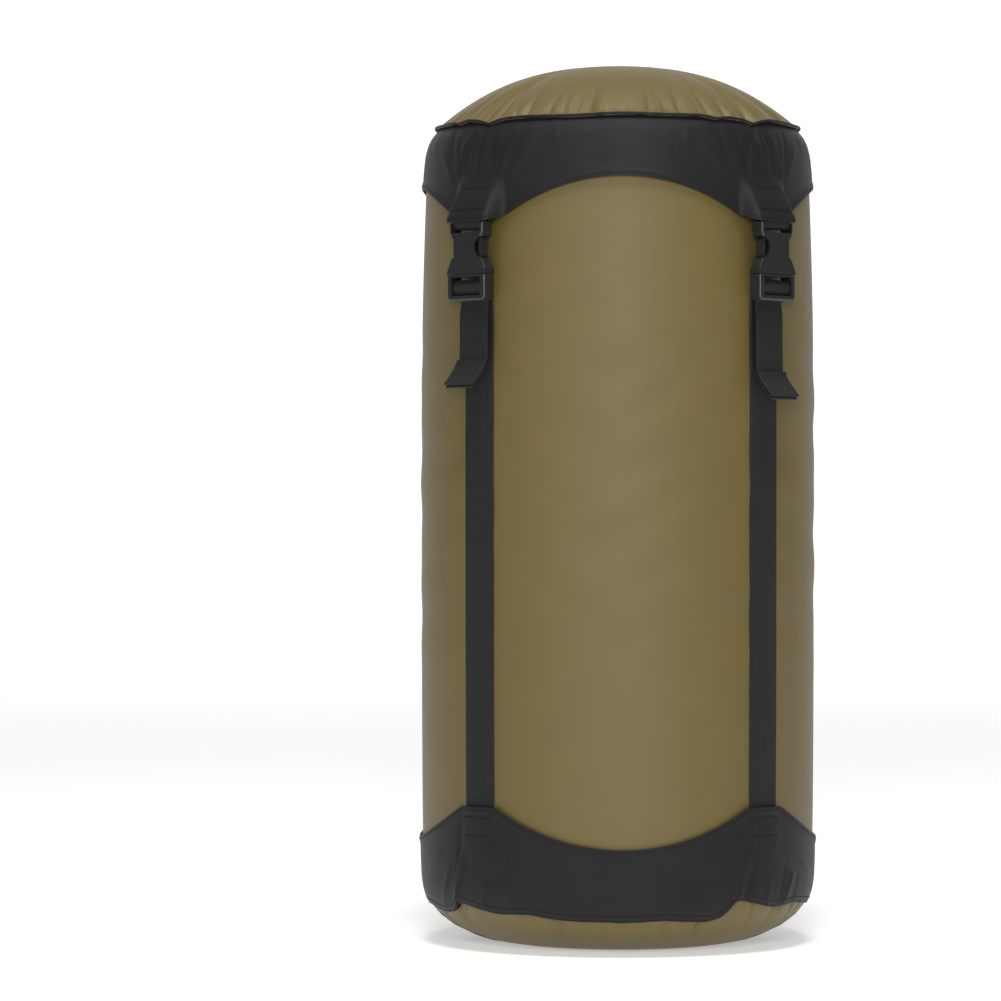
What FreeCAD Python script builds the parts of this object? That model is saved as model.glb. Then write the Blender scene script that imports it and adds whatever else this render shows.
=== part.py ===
import FreeCAD, Part
import math
import os
import Sketcher

# A family travel compression sack: a soft cylinder with a domed lid, squeezed by four straps.
# The sack stands on its base at z = 0, its axis is Z, and its front faces -Y.

doc = FreeCAD.newDocument("compression_sack")
sheet = doc.addObject("Spreadsheet::Sheet", "dims")

DRIVING = {
    # the bag
    "tube_radius": 103.6,
    "fabric": 0.6,
    "slip": 0.3,
    "height_total": 466,
    "travel": 260,
    "rest_radius": 62,
    "base_round": 110,
    "base_seam": 18,
    "base_seam_radius": 101.8,
    "base_thick": 2.4,
    "rim_lean": 0.4,
    "rim_cut": 1.1,
    "shoulder_round": 45,
    "shoulder_low": 42,
    "shoulder_high": 408,
    "lid_seam": 433,
    "lid_seam_radius": 97,
    "lid_thick": 1.2,
    # the scalloped yokes that carry the straps
    "yoke_thick": 0.8,
    "low_peak": 76,
    "low_valley": 56,
    "low_scallop": 118,
    "high_tip": 378.5,
    "high_valley": 400.5,
    "high_scallop": 105,
    "anchor_width": 25,
    "anchor_cover": 1.2,
    "anchor_taper": 2,
    "anchor_room": 0.4,
    "snug": 0.1,
    # telescoping lengths of the tube
    "tube_low_top": 150,
    "tube_step": 44,
    # webbing
    "webbing_width": 20,
    "webbing": 1.2,
    "strap_foot": 60,
    "tail_bend": 46,
    "tail_lift": 3.2,
    "tab_length": 16,
    "loop_gap": 0.2,
    "loop_high": 44.6,
    "loop_bend": 34,
    "loop_outer": 2.7,
    "hood_top": 54.5,
    "hood_foot_high": 51.5,
    "hood_bend": 45.1,
    "hood_bend_front": 1.4,
    "hood_bend_back": 2.2,
    "hood_room": 0.55,
    # side-release buckles, measured from the line where socket and plug part
    "parting": 351.4,
    "buckle_width": 27.5,
    "buckle_thick": 7.5,
    "buckle_axis": 110.45,
    "parting_gap": 0.15,
    "edge_round": 1.2,
    "flare_high": 3.2,
    "waist_low": 8.6,
    "waist_high": 19.6,
    "ear_low": 22,
    "socket_slot": 21.6,
    "window_low": 8.2,
    "window_high": 19.4,
    "window_reach": 10.5,
    "window_round": 5.8,
    "cavity_wide": 10.7,
    "cavity_narrow": 10.1,
    "cavity_step": 9,
    "cavity_high": 20.2,
    "waist_width": 22,
    "ear_width": 24.4,
    "socket_tall": 27,
    "plug_tall": 13.6,
    "bar_thick": 3.2,
    "cavity_thick": 4.9,
    "tongue_thick": 4.3,
    "slot_half": 10.4,
    "bar_root": 0.6,
    "socket_bar": 2.2,
    "corner_cut": 1.5,
    "ladder_low": 10.9,
    "ladder_high": 1.3,
    "groove_front": 0.85,
    "groove_high": 10,
    "bar_low": 8.3,
    "bar_high": 4.5,
    "bar_front": 0.4,
    "bar_round": 2,
    "turn_round": 2.2,
    "turn_back": 4.3,
    "turn_low": 8.5,
    "web_half": 9.8,
    "web_high": 2.6,
    "guide_half": 2.2,
    "guide_high": 17.5,
    "guide_tip": 18.5,
    "guide_step": 0.4,
    "arm_inner": 8,
    "arm_outer": 10.4,
    "arm_foot": 2.9,
    "arm_neck": 8.4,
    "pad_low": 10.4,
    "pad_high": 17,
    "arm_tip": 19,
    "arm_chamfer": 0.8,
    # drawcord closure under the lid
    "mouth_radius": 45,
    "mouth_height": 442.5,
    "hem_radius": 2.6,
    "cord_radius": 1.5,
    "lock_radius": 4.6,
    "lock_length": 16,
    "lock_offset": 58,
    "lock_end": 1.2,
    "cord_exit": 7.2,
    "cord_pitch": 3.2,
    "cord_reach": 7,
    "cord_way": 3.4,
    "cord_room": 0.2,
    "spring_length": 2.3,
    "spring_radius": 2.4,
    "spring_pitch": 1.1,
    "spring_wire": 0.28,
    "plunger_start": 3.9,
    "plunger_proud": 4,
    "collar_foot": 2.5,
    "collar_fold": 7,
    "collar_drop": 6,
    "collar_edge": 1.6,
    "collar_rise": 2.1,
    "plunger_radius": 3.2,
    "plunger_travel": 2.5,
    # grab handle across the base
    "handle_width": 25,
    "handle_thick": 1.3,
    "handle_room": 0.2,
    "handle_short": 1,
}

CORNERS = {"front_right": 315, "back_right": 45, "back_left": 135, "front_left": 225}

pieces = []


def fill_sheet():
    for row, (name, value) in enumerate(DRIVING.items(), start=1):
        sheet.set(f"A{row}", name)
        sheet.set(f"B{row}", str(value))
        sheet.setAlias(f"B{row}", name)
    doc.recompute()


def number(expression):
    return float(sheet.evalExpression(expression))


def bind(item, settings):
    for name, expression in settings.items():
        item.setExpression(name, expression)


def finish(item, label):
    item.Label = label
    pieces.append(item)
    return item


def mirrored(corners):
    """An outline from its right-hand half, listed from the bottom up."""
    return corners + [(f"-({x})", y) for x, y in reversed(corners)]


def arc_middle(start, end, radius, side):
    """The middle of an arc between two points, bulging to the left (1) or right (-1) of its chord."""
    chord = math.dist(start, end)
    rise = radius - math.sqrt(radius**2 - chord**2 / 4)
    across = ((start[1] - end[1]) / chord, (end[0] - start[0]) / chord)
    return [(a + b) / 2 + side * rise * c for a, b, c in zip(start, end, across)]


def outline(body, plane, corners, arcs=None):
    """A closed sketch on one of the body's planes, with every corner bound to the sheet.

    arcs gives, for the edge that starts at a corner, its radius and which side it bulges to.
    """
    sketch = body.newObject("Sketcher::SketchObject", "Outline")
    origin_plane = [f for f in body.Origin.OriginFeatures if f.Role == plane][0]
    sketch.AttachmentSupport = (origin_plane, "")
    sketch.MapMode = "FlatFace"
    arcs = arcs or {}
    places = [(number(x), number(y)) for x, y in corners]
    count = len(places)
    for edge in range(count):
        start = places[edge]
        end = places[(edge + 1) % count]
        ends = [FreeCAD.Vector(*start, 0), FreeCAD.Vector(*end, 0)]
        if edge in arcs:
            middle = arc_middle(start, end, number(arcs[edge][0]), arcs[edge][1])
            curve = Part.Arc(ends[0], FreeCAD.Vector(*middle, 0), ends[1])
        else:
            curve = Part.LineSegment(*ends)
        sketch.addGeometry(curve, False)

    def end_at(edge, place):
        gaps = [math.dist(place, sketch.getPoint(edge, k)[:2]) for k in (1, 2)]
        return 1 + gaps.index(min(gaps))

    for edge in range(count):
        after = (edge + 1) % count
        meeting = places[after]
        joint = Sketcher.Constraint(
            "Coincident", edge, end_at(edge, meeting), after, end_at(after, meeting)
        )
        sketch.addConstraint(joint)
    for edge, (x, y) in enumerate(corners):
        corner = end_at(edge, places[edge])
        for direction, expression, value in zip(("DistanceX", "DistanceY"), (x, y), places[edge]):
            index = sketch.addConstraint(
                Sketcher.Constraint(direction, -1, 1, edge, corner, value)
            )
            sketch.setExpression(f"Constraints[{index}]", expression)
    for edge, (radius, _) in arcs.items():
        index = sketch.addConstraint(Sketcher.Constraint("Radius", edge, number(radius)))
        sketch.setExpression(f"Constraints[{index}]", radius)
    return sketch


def new_body(name):
    return doc.addObject("PartDesign::Body", name)


def revolve(name, corners, arcs=None):
    """A body of revolution about Z from an outline of (radius, height) corners."""
    body = new_body(name)
    turned = body.newObject("PartDesign::Revolution", "Turned")
    sketch = outline(body, "XZ_Plane", corners, arcs)
    turned.Profile = sketch
    turned.ReferenceAxis = (sketch, ["V_Axis"])
    turned.Angle = 360
    doc.recompute()
    return body


def pad(body, plane, corners, length, arcs=None):
    feature = body.newObject("PartDesign::Pad", "Pad")
    feature.Profile = outline(body, plane, corners, arcs)
    feature.SideType = "Symmetric"
    feature.setExpression("Length", length)
    doc.recompute()
    return feature


def pocket(body, plane, corners, length, arcs=None):
    before = body.Shape.Volume
    feature = body.newObject("PartDesign::Pocket", "Pocket")
    feature.Profile = outline(body, plane, corners, arcs)
    feature.SideType = "Symmetric"
    feature.setExpression("Length", length)
    doc.recompute()
    if body.Shape.Volume > before - 0.01:
        raise RuntimeError(f"{body.Name}: a pocket cuts nothing")
    return feature


def round_edges(body, radius, chosen):
    """Round the edges of the body's last feature for which chosen(edge) is true."""
    base = body.Tip
    names = [f"Edge{i}" for i, edge in enumerate(base.Shape.Edges, start=1) if chosen(edge)]
    fillet = body.newObject("PartDesign::Fillet", "Rounded")
    fillet.Base = (base, names)
    fillet.setExpression("Radius", radius)
    doc.recompute()
    return fillet


def runs_along(edge, axis):
    direction = edge.tangentAt(edge.FirstParameter)
    return abs(direction.dot(axis)) > 0.99


def at_corner(item, azimuth, radius, height):
    """Stand a piece made at the origin, facing +Y, on the sack's side at a strap's corner."""
    facing = FreeCAD.Rotation(FreeCAD.Vector(0, 0, 1), azimuth - 90)
    item.Placement = FreeCAD.Placement(FreeCAD.Vector(0, 0, 0), facing)
    bind(item, {
        "Placement.Base.x": f"({radius}) * cos({azimuth} deg)",
        "Placement.Base.y": f"({radius}) * sin({azimuth} deg)",
        "Placement.Base.z": height,
    })


def box(name, low, size):
    """A box from its lowest corner and its size, each three expressions."""
    block = doc.addObject("Part::Box", name)
    bind(block, dict(zip(("Length", "Width", "Height"), size)))
    bind(block, dict(zip(("Placement.Base.x", "Placement.Base.y", "Placement.Base.z"), low)))
    return block


def cut(name, base, tool):
    result = doc.addObject("Part::Cut", name)
    result.Base = base
    result.Tool = tool
    return result


def common(name, base, tool):
    result = doc.addObject("Part::Common", name)
    result.Base = base
    result.Tool = tool
    return result


def fuse(name, shapes):
    result = doc.addObject("Part::MultiFuse", name)
    result.Shapes = shapes
    return result


def cylinder(name, radius, length, axis, centre):
    """A cylinder of a given length, centred on a point, along X, Y or Z."""
    rod = doc.addObject("Part::Cylinder", name)
    turns = {
        "X": FreeCAD.Rotation(FreeCAD.Vector(0, 1, 0), 90),
        "Y": FreeCAD.Rotation(FreeCAD.Vector(1, 0, 0), -90),
        "Z": FreeCAD.Rotation(),
    }
    rod.Placement = FreeCAD.Placement(FreeCAD.Vector(0, 0, 0), turns[axis])
    bind(rod, {"Radius": radius, "Height": length})
    for letter, place in zip("XYZ", centre):
        start = f"{place} - ({length}) / 2" if letter == axis else place
        rod.setExpression(f"Placement.Base.{letter.lower()}", start)
    return rod


# The base and the lower yoke, sewn round the foot of the tube.


def base_layer(name, start, thick):
    """A layer of the dished base that starts at one depth above its underside."""
    foot, seam = "dims.rest_radius", "dims.base_seam"
    outer_round = f"dims.base_round - {start}"
    rim = f"dims.base_seam_radius - dims.rim_lean * {start}"
    corners = [
        ("0", start),
        (foot, start),
        (rim, seam),
        (f"{rim} - dims.rim_cut * ({thick})", seam),
        (f"{foot} - dims.rim_lean * ({thick})", f"{start} + ({thick})"),
        ("0", f"{start} + ({thick})"),
    ]
    arcs = {1: (outer_round, -1), 3: (f"{outer_round} - ({thick})", 1)}
    return revolve(name, corners, arcs)


def across_base(name, half_length, half_width, height):
    """A block over the strip of the base that the grab handle crosses."""
    low = (f"-({half_length})", f"-({half_width})", "-dims.base_thick")
    size = (f"2 * ({half_length})", f"2 * ({half_width})", f"dims.base_thick + {height}")
    return box(name, low, size)


def build_base():
    """The base panel, with the grab handle's webbing let into its underside."""
    half = "dims.handle_width / 2"
    reach = "dims.base_seam_radius"
    dish = base_layer("Base_dish", "0", "dims.base_thick")
    recess_layer = base_layer("Recess_layer", "0", "dims.handle_thick + dims.handle_room")
    webbing_layer = base_layer("Handle_layer", "0", "dims.handle_thick")
    recess_block = across_base(
        "Recess_block", f"{reach} + dims.slip", f"{half} + dims.slip", "dims.base_seam"
    )
    handle_block = across_base(
        "Handle_block", f"{reach} - dims.handle_short", half, "dims.base_seam - dims.handle_short"
    )
    recess = common("Recess", recess_layer, recess_block)
    finish(cut("Base_panel", dish, recess), "base_panel")
    finish(common("Base_handle", webbing_layer, handle_block), "base_handle")


def scallops(name, radius, height):
    """Two crossed cylinders that cut an arch into each of the yoke's four sides."""
    tools = [
        cylinder(f"{name}_{axis}", radius, "3 * dims.tube_radius", axis, ("0", "0", height))
        for axis in "XY"
    ]
    return fuse(name, tools)


def rectangle(half_width, height):
    return [
        (f"-({half_width})", "0"),
        (half_width, "0"),
        (half_width, height),
        (f"-({half_width})", height),
    ]


def build_lower_yoke():
    """The black band round the foot, rising to a doubled peak over each strap's sewn end."""
    inner = "dims.tube_radius + dims.slip"
    outer = f"{inner} + dims.yoke_thick"
    foot, seam = "dims.base_seam_radius", "dims.base_seam"
    corners = [
        (foot, seam),
        (outer, "dims.shoulder_low"),
        (outer, "dims.low_peak"),
        (inner, "dims.low_peak"),
        (inner, "dims.shoulder_low"),
        (f"{foot} - dims.yoke_thick", seam),
    ]
    band = revolve("Lower_band", corners, {0: ("dims.base_round", -1), 4: ("dims.base_round", 1)})
    arches = scallops("Low_scallops", "dims.low_scallop", "dims.low_valley + dims.low_scallop")
    parts = [cut("Lower_scalloped", band, arches)]
    slots = []
    thick = "(dims.webbing + dims.anchor_cover)"
    half, taper = "dims.anchor_width / 2", "dims.anchor_taper"
    tall = f"dims.low_peak - dims.strap_foot + {taper}"
    peak = [(f"-{half}", "0"), (half, "0"), (f"{half} - {taper}", tall), (f"-{half} + {taper}", tall)]
    strap_way = rectangle("dims.webbing_width / 2 + dims.snug", "dims.low_peak")
    for corner, azimuth in CORNERS.items():
        doubled = new_body(f"Anchor_{corner}")
        pad(doubled, "XZ_Plane", peak, thick)
        at_corner(doubled, azimuth, f"{inner} + {thick} / 2", f"dims.strap_foot - {taper}")
        parts.append(doubled)
        slot = new_body(f"Anchor_slot_{corner}")
        pad(slot, "XZ_Plane", strap_way, "dims.webbing + dims.snug")
        at_corner(slot, azimuth, f"{inner} + dims.webbing / 2", "dims.strap_foot")
        slots.append(slot)
    whole = fuse("Lower_whole", parts)
    finish(cut("Lower_yoke", whole, fuse("Anchor_slots", slots)), "lower_yoke")


# The fabric tube: four lengths that slide inside one another as the sack is compressed.


def tube_wall(name, layer, bottom, top):
    """One straight length of the tube; layer 0 is the outermost."""
    outer = f"dims.tube_radius - {layer} * (dims.fabric + dims.slip)"
    corners = [
        (f"{outer} - dims.fabric", bottom),
        (outer, bottom),
        (outer, top),
        (f"{outer} - dims.fabric", top),
    ]
    return revolve(name, corners)


def build_tube():
    third = "dims.travel / 3"
    low, high = "dims.tube_step", "dims.tube_low_top"
    finish(tube_wall("Tube_1", 3, "dims.base_seam", high), "body_tube_1")
    for step in (1, 2):
        bottom = f"{low} + {step} * {third}"
        top = f"{high} + {step} * {third}"
        finish(tube_wall(f"Tube_{step + 1}", 3 - step, bottom, top), f"body_tube_{step + 1}")
    outer, foot = "dims.tube_radius", "dims.tube_step + dims.travel"
    rim, top = "dims.lid_seam_radius - 1", "dims.lid_seam - dims.collar_foot"
    corners = [
        (f"{outer} - dims.fabric", foot),
        (outer, foot),
        (outer, "dims.shoulder_high"),
        (rim, top),
        (f"{rim} - dims.fabric", top),
        (f"{outer} - dims.fabric", "dims.shoulder_high"),
    ]
    shoulder = {2: ("dims.shoulder_round", -1), 4: ("dims.shoulder_round", 1)}
    finish(revolve("Tube_4", corners, shoulder), "body_tube_4")


def build_mouth():
    """The collar that closes in to the mouth, and the hem that holds the drawcord."""
    rim = "dims.lid_seam_radius - 1 - dims.fabric"
    top = "dims.lid_seam - dims.collar_foot"
    ring, level = "dims.mouth_radius", "dims.mouth_height"
    fold = f"{ring} + dims.collar_fold"
    edge = f"{ring} + dims.collar_edge"
    collar = [
        (rim, top),
        (fold, f"{level} - dims.collar_drop"),
        (edge, f"{level} - dims.collar_rise"),
        (f"{edge} + dims.snug", f"{level} - dims.collar_rise - dims.fabric * 1.5"),
        (fold, f"{level} - dims.collar_drop - dims.fabric"),
        (rim, f"{top} - dims.fabric"),
    ]
    finish(revolve("Collar", collar), "mouth_collar")
    hem_tube = torus("Hem_outer", ring, "dims.hem_radius", level)
    cord_way = torus("Hem_bore", ring, "dims.cord_radius + dims.slip", level)
    exit_gap = box(
        "Hem_exit",
        ("-dims.cord_exit / 2", f"-{ring} - 2 * dims.hem_radius", f"{level} - 2 * dims.hem_radius"),
        ("dims.cord_exit", "dims.cord_exit", "4 * dims.hem_radius"),
    )
    hem = cut("Hem", hem_tube, fuse("Hem_cuts", [cord_way, exit_gap]))
    finish(hem, "drawcord_hem")


def torus(name, ring, tube, height):
    shape = doc.addObject("Part::Torus", name)
    bind(shape, {"Radius1": ring, "Radius2": tube, "Placement.Base.z": height})
    return shape


def build_drawcord():
    """The cord's ring in the hem; its two ends run side by side into the cord lock."""
    ring, level = "dims.mouth_radius", "dims.mouth_height"
    parts = [torus("Cord_ring", ring, "dims.cord_radius", level)]
    length = f"(dims.lock_offset + dims.cord_reach - {ring})"
    for name, side in (("left", "-1"), ("right", "1")):
        middle = (f"{side} * dims.cord_pitch / 2", f"-{ring} - {length} / 2", level)
        parts.append(cylinder(f"Cord_end_{name}", "dims.cord_radius", length, "Y", middle))
    finish(fuse("Drawcord", parts), "drawcord")


def cord_slot(name, right):
    """The way through the cord lock for the two cord ends."""
    half = "(dims.cord_radius + dims.cord_room)"
    return box(
        name,
        ("-dims.cord_way", "-dims.lock_offset - 2 * dims.lock_radius", f"dims.mouth_height - {half}"),
        (f"{right} + dims.cord_way", "4 * dims.lock_radius", f"2 * {half}"),
    )


def build_cord_lock():
    """A barrel cord lock lying along X, with its sprung plunger pushed in from the right."""
    centre = ("-dims.lock_offset", "dims.mouth_height")
    length = "dims.lock_length"
    barrel = cylinder("Barrel", "dims.lock_radius", length, "X", ("0", *centre))
    bore_radius = "dims.plunger_radius + dims.snug"
    bore = cylinder("Barrel_bore", bore_radius, length, "X", ("dims.lock_end", *centre))
    way = cord_slot("Barrel_slot", "dims.cord_way")
    finish(cut("Cord_lock_body", barrel, fuse("Barrel_cuts", [bore, way])), "cord_lock_body")
    button = f"({length} / 2 + dims.plunger_proud)"
    rod = cylinder(
        "Plunger_rod",
        "dims.plunger_radius",
        f"{button} + dims.plunger_start",
        "X",
        (f"({button} - dims.plunger_start) / 2", *centre),
    )
    plunger_way = cord_slot("Plunger_slot", "dims.cord_way + dims.plunger_travel")
    finish(cut("Cord_lock_plunger", rod, plunger_way), "cord_lock_plunger")
    build_spring((f"-{length} / 2 + dims.lock_end + dims.slip", *centre))


def build_spring(start):
    """The coil spring behind the cord lock's plunger, wound along X from six-sided wire."""
    coil = doc.addObject("Part::Helix", "Spring_path")
    bind(coil, {
        "Radius": "dims.spring_radius",
        "Pitch": "dims.spring_pitch",
        "Height": "dims.spring_length",
    })
    wire = doc.addObject("Part::RegularPolygon", "Spring_wire")
    wire.Polygon = 6
    wire.Placement = FreeCAD.Placement(
        FreeCAD.Vector(0, 0, 0), FreeCAD.Rotation(FreeCAD.Vector(1, 0, 0), 90)
    )
    bind(wire, {"Circumradius": "dims.spring_wire", "Placement.Base.x": "dims.spring_radius"})
    spring = doc.addObject("Part::Sweep", "Cord_lock_spring")
    spring.Sections = [wire]
    spring.Spine = (coil, [])
    spring.Solid = True
    spring.Frenet = True
    spring.Placement = FreeCAD.Placement(
        FreeCAD.Vector(0, 0, 0), FreeCAD.Rotation(FreeCAD.Vector(0, 1, 0), 90)
    )
    bind(spring, dict(zip(("Placement.Base.x", "Placement.Base.y", "Placement.Base.z"), start)))
    finish(spring, "cord_lock_spring")


# The lid: a domed panel on a scalloped yoke that caps the tube.


def build_lid():
    rim, seam, top = "dims.lid_seam_radius", "dims.lid_seam", "dims.height_total"
    rise = f"({top} - {seam})"
    outer_round = f"(({rim})^2 + {rise}^2) / (2 * {rise})"
    inner_round = f"({outer_round} - dims.lid_thick)"
    inner_rim = f"sqrt({inner_round}^2 - ({outer_round} - {rise})^2)"
    corners = [(rim, seam), ("0", top), ("0", f"{top} - dims.lid_thick"), (inner_rim, seam)]
    arcs = {0: (outer_round, -1), 2: (inner_round, 1)}
    finish(revolve("Lid_panel", corners, arcs), "lid_panel")


def build_upper_yoke():
    """The black band under the dome, coming down to a hooded tip over each buckle's loop."""
    inner = "dims.tube_radius + dims.slip"
    outer = f"{inner} + dims.yoke_thick"
    rim, seam = "dims.lid_seam_radius", "dims.lid_seam"
    corners = [
        (inner, "dims.high_tip"),
        (outer, "dims.high_tip"),
        (outer, "dims.shoulder_high"),
        (rim, seam),
        (f"{rim} - dims.yoke_thick", seam),
        (inner, "dims.shoulder_high"),
    ]
    shoulder = {2: ("dims.shoulder_round", -1), 4: ("dims.shoulder_round", 1)}
    band = revolve("Upper_band", corners, shoulder)
    arches = scallops("High_scallops", "dims.high_scallop", "dims.high_valley - dims.high_scallop")
    parts = [cut("Upper_scalloped", band, arches)]
    front = "dims.bar_thick / 2 + dims.webbing + dims.hood_room"
    hood_foot = "dims.high_tip - dims.parting + dims.snug"
    band_back = f"{inner} - dims.snug / 2 - dims.buckle_axis"
    hood = [
        (front, hood_foot),
        (f"{front} + dims.yoke_thick", hood_foot),
        ("-dims.hood_bend_front", "dims.hood_bend"),
        (band_back, "dims.hood_top"),
        (band_back, "dims.hood_foot_high"),
        ("-dims.hood_bend_back", "dims.hood_bend - dims.webbing / 6"),
    ]
    for corner, azimuth in CORNERS.items():
        flap = new_body(f"Hood_{corner}")
        pad(flap, "YZ_Plane", hood, "dims.anchor_width - 1")
        at_corner(flap, azimuth, "dims.buckle_axis", "dims.parting")
        parts.append(flap)
    finish(fuse("Upper_yoke", parts), "upper_yoke")


# One strap's pieces, each made facing +Y about the buckle's axis and parting line.


def build_load_strap(corner, azimuth):
    """The strap that runs up the sack from the lower yoke to the ladder lock."""
    body = new_body(f"Load_strap_{corner}")
    tall = "dims.parting - dims.turn_back + dims.webbing - dims.strap_foot"
    pad(body, "XZ_Plane", rectangle("dims.webbing_width / 2", tall), "dims.webbing")
    at_corner(body, azimuth, "dims.tube_radius + dims.slip + dims.webbing / 2", "dims.strap_foot")
    finish(body, f"load_strap_{corner}")


def build_strap_tail(corner, azimuth):
    """The strap's turn over the ladder bar, its free tail and the folded tab at its end."""
    body = new_body(f"Strap_tail_{corner}")
    anchor = "dims.tube_radius + dims.slip + dims.webbing + dims.anchor_cover"
    back = f"{anchor} + dims.anchor_room - dims.buckle_axis"
    tail_in = "dims.tube_radius + dims.tail_lift - dims.buckle_axis"
    tail_out = f"{tail_in} + dims.webbing"
    front, high, low = "dims.bar_front", "-dims.turn_back", "-dims.turn_low"
    slant = "dims.tab_length * sqrt(0.5)"
    fold = "2 * dims.webbing * sqrt(0.5)"
    tab_low = f"-dims.tail_bend - {slant}"
    inner_bend = f"{tab_low} - {fold} + ({tail_out} + {slant} - {fold} - ({tail_in}))"
    corners = [
        (back, high),
        (back, f"{high} + dims.webbing"),
        (front, f"{high} + dims.webbing"),
        (front, f"{low} - dims.webbing"),
        (tail_out, f"{low} - dims.webbing"),
        (tail_out, "-dims.tail_bend"),
        (f"{tail_out} + {slant}", tab_low),
        (f"{tail_out} + {slant} - {fold}", f"{tab_low} - {fold}"),
        (tail_in, inner_bend),
        (tail_in, low),
        (front, low),
        (front, high),
    ]
    arcs = {2: ("dims.turn_round + dims.webbing", 1), 10: ("dims.turn_round", -1)}
    pad(body, "YZ_Plane", corners, "dims.webbing_width", arcs)
    at_corner(body, azimuth, "dims.buckle_axis", "dims.parting")
    finish(body, f"strap_tail_{corner}")


def build_buckle_loop(corner, azimuth):
    """The short webbing loop that holds the socket's bar under the yoke's tip."""
    body = new_body(f"Buckle_loop_{corner}")
    gap = "(dims.bar_thick / 2 + dims.loop_gap)"
    out = f"({gap} + dims.webbing)"
    low = "(dims.socket_tall - dims.socket_bar - dims.loop_gap)"
    high = "dims.socket_tall + dims.loop_gap"
    inner = "(dims.loop_outer + dims.webbing)"
    corners = [
        (f"-{out}", f"{low} - dims.webbing"),
        (out, f"{low} - dims.webbing"),
        (out, f"{high} + dims.loop_gap"),
        ("-dims.loop_outer", "dims.loop_high"),
        (f"-{inner}", "dims.loop_high"),
        (f"-{inner}", "dims.loop_bend"),
    ]
    pad(body, "YZ_Plane", corners, "dims.webbing_width")
    eye = [(f"-{gap}", low), (gap, low), (gap, high), (f"-{gap}", high)]
    pocket(body, "YZ_Plane", eye, "dims.webbing_width + 2")
    at_corner(body, azimuth, "dims.buckle_axis", "dims.parting")
    finish(body, f"buckle_loop_{corner}")


def round_shell(body, chosen_side):
    """Round a buckle half's outer edges, leaving the parting face and the corners' own edges."""
    depth = FreeCAD.Vector(0, 1, 0)
    round_edges(
        body, "dims.edge_round", lambda edge: not runs_along(edge, depth) and chosen_side(edge)
    )


def build_socket(corner, azimuth):
    """The buckle's female half: a waisted shell with a window in each side."""
    body = new_body(f"Socket_{corner}")
    flare, waist, ear = "dims.buckle_width / 2", "dims.waist_width / 2", "dims.ear_width / 2"
    tall, through = "dims.socket_tall", "dims.buckle_thick + 2"
    side = [
        (flare, "dims.parting_gap"),
        (flare, "dims.flare_high"),
        (waist, "dims.waist_low"),
        (waist, "dims.waist_high"),
        (ear, "dims.ear_low"),
        (ear, tall),
    ]
    pad(body, "XZ_Plane", mirrored(side), "dims.buckle_thick")
    round_shell(body, lambda edge: edge.BoundBox.ZMin > number("dims.parting_gap") + 0.05)
    slot = [("dims.slot_half", "dims.socket_slot"), ("dims.slot_half", f"{tall} + 1")]
    pocket(body, "XZ_Plane", mirrored(slot), through)
    bar_end = "dims.slot_half + dims.bar_root"
    bar = [(bar_end, f"{tall} - dims.socket_bar"), (bar_end, tall)]
    pad(body, "XZ_Plane", mirrored(bar), "dims.bar_thick")
    cavity = [
        ("dims.cavity_wide", "-1"),
        ("dims.cavity_wide", "dims.window_low"),
        ("dims.cavity_narrow", "dims.cavity_step"),
        ("dims.cavity_narrow", "dims.cavity_high"),
    ]
    pocket(body, "XZ_Plane", mirrored(cavity), "dims.cavity_thick")
    for sign, bulge in (("", -1), ("-", 1)):
        window = [
            (f"{sign}dims.buckle_width", "dims.window_low"),
            (f"{sign}dims.buckle_width", "dims.window_high"),
            (f"{sign}dims.window_reach", "dims.window_high"),
            (f"{sign}dims.window_reach", "dims.window_low"),
        ]
        pocket(body, "XZ_Plane", window, through, {2: ("dims.window_round", bulge)})
    at_corner(body, azimuth, "dims.buckle_axis", "dims.parting")
    finish(body, f"buckle_socket_{corner}")


def build_plug(corner, azimuth):
    """The buckle's male half: a ladder lock for the strap, below a guide tongue."""
    body = new_body(f"Plug_{corner}")
    flare, low, bevel = "dims.buckle_width / 2", "-dims.plug_tall", "dims.corner_cut"
    frame = [(f"{flare} - {bevel}", low), (flare, f"{low} + {bevel}"), (flare, "-dims.parting_gap")]
    pad(body, "XZ_Plane", mirrored(frame), "dims.buckle_thick")
    round_shell(body, lambda edge: edge.BoundBox.ZMin < -number("dims.parting_gap") - 0.05)
    ladder = [("dims.slot_half", "-dims.ladder_low"), ("dims.slot_half", "-dims.ladder_high")]
    pocket(body, "XZ_Plane", mirrored(ladder), "dims.buckle_thick + 2")
    groove = [
        ("-dims.buckle_thick", f"{low} - 1"),
        ("-dims.groove_front", f"{low} - 1"),
        ("-dims.groove_front", "-dims.groove_high"),
        ("-dims.buckle_thick", "-dims.groove_high"),
    ]
    pocket(body, "YZ_Plane", groove, "2 * dims.slot_half")
    crossbar = [
        ("-dims.bar_thick / 2", "-dims.bar_low"),
        ("dims.bar_front", "-dims.bar_low"),
        ("dims.bar_front", "-dims.bar_high"),
        ("-dims.bar_thick / 2", "-dims.bar_high"),
    ]
    bar_length = "2 * (dims.slot_half + dims.bar_root)"
    pad(body, "YZ_Plane", crossbar, bar_length, {1: ("dims.bar_round", -1)})
    web = [("dims.web_half", "-2 * dims.parting_gap"), ("dims.web_half", "dims.web_high")]
    pad(body, "XZ_Plane", mirrored(web), "dims.tongue_thick")
    tip = "dims.guide_tip - dims.guide_high"
    guide = [
        ("dims.guide_half", "dims.web_high - dims.snug"),
        ("dims.guide_half", "dims.guide_high"),
        (f"dims.guide_half - ({tip})", "dims.guide_tip"),
    ]
    pad(body, "XZ_Plane", mirrored(guide), "dims.tongue_thick - 2 * dims.guide_step")
    at_corner(body, azimuth, "dims.buckle_axis", "dims.parting")
    finish(body, f"buckle_plug_{corner}")


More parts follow.
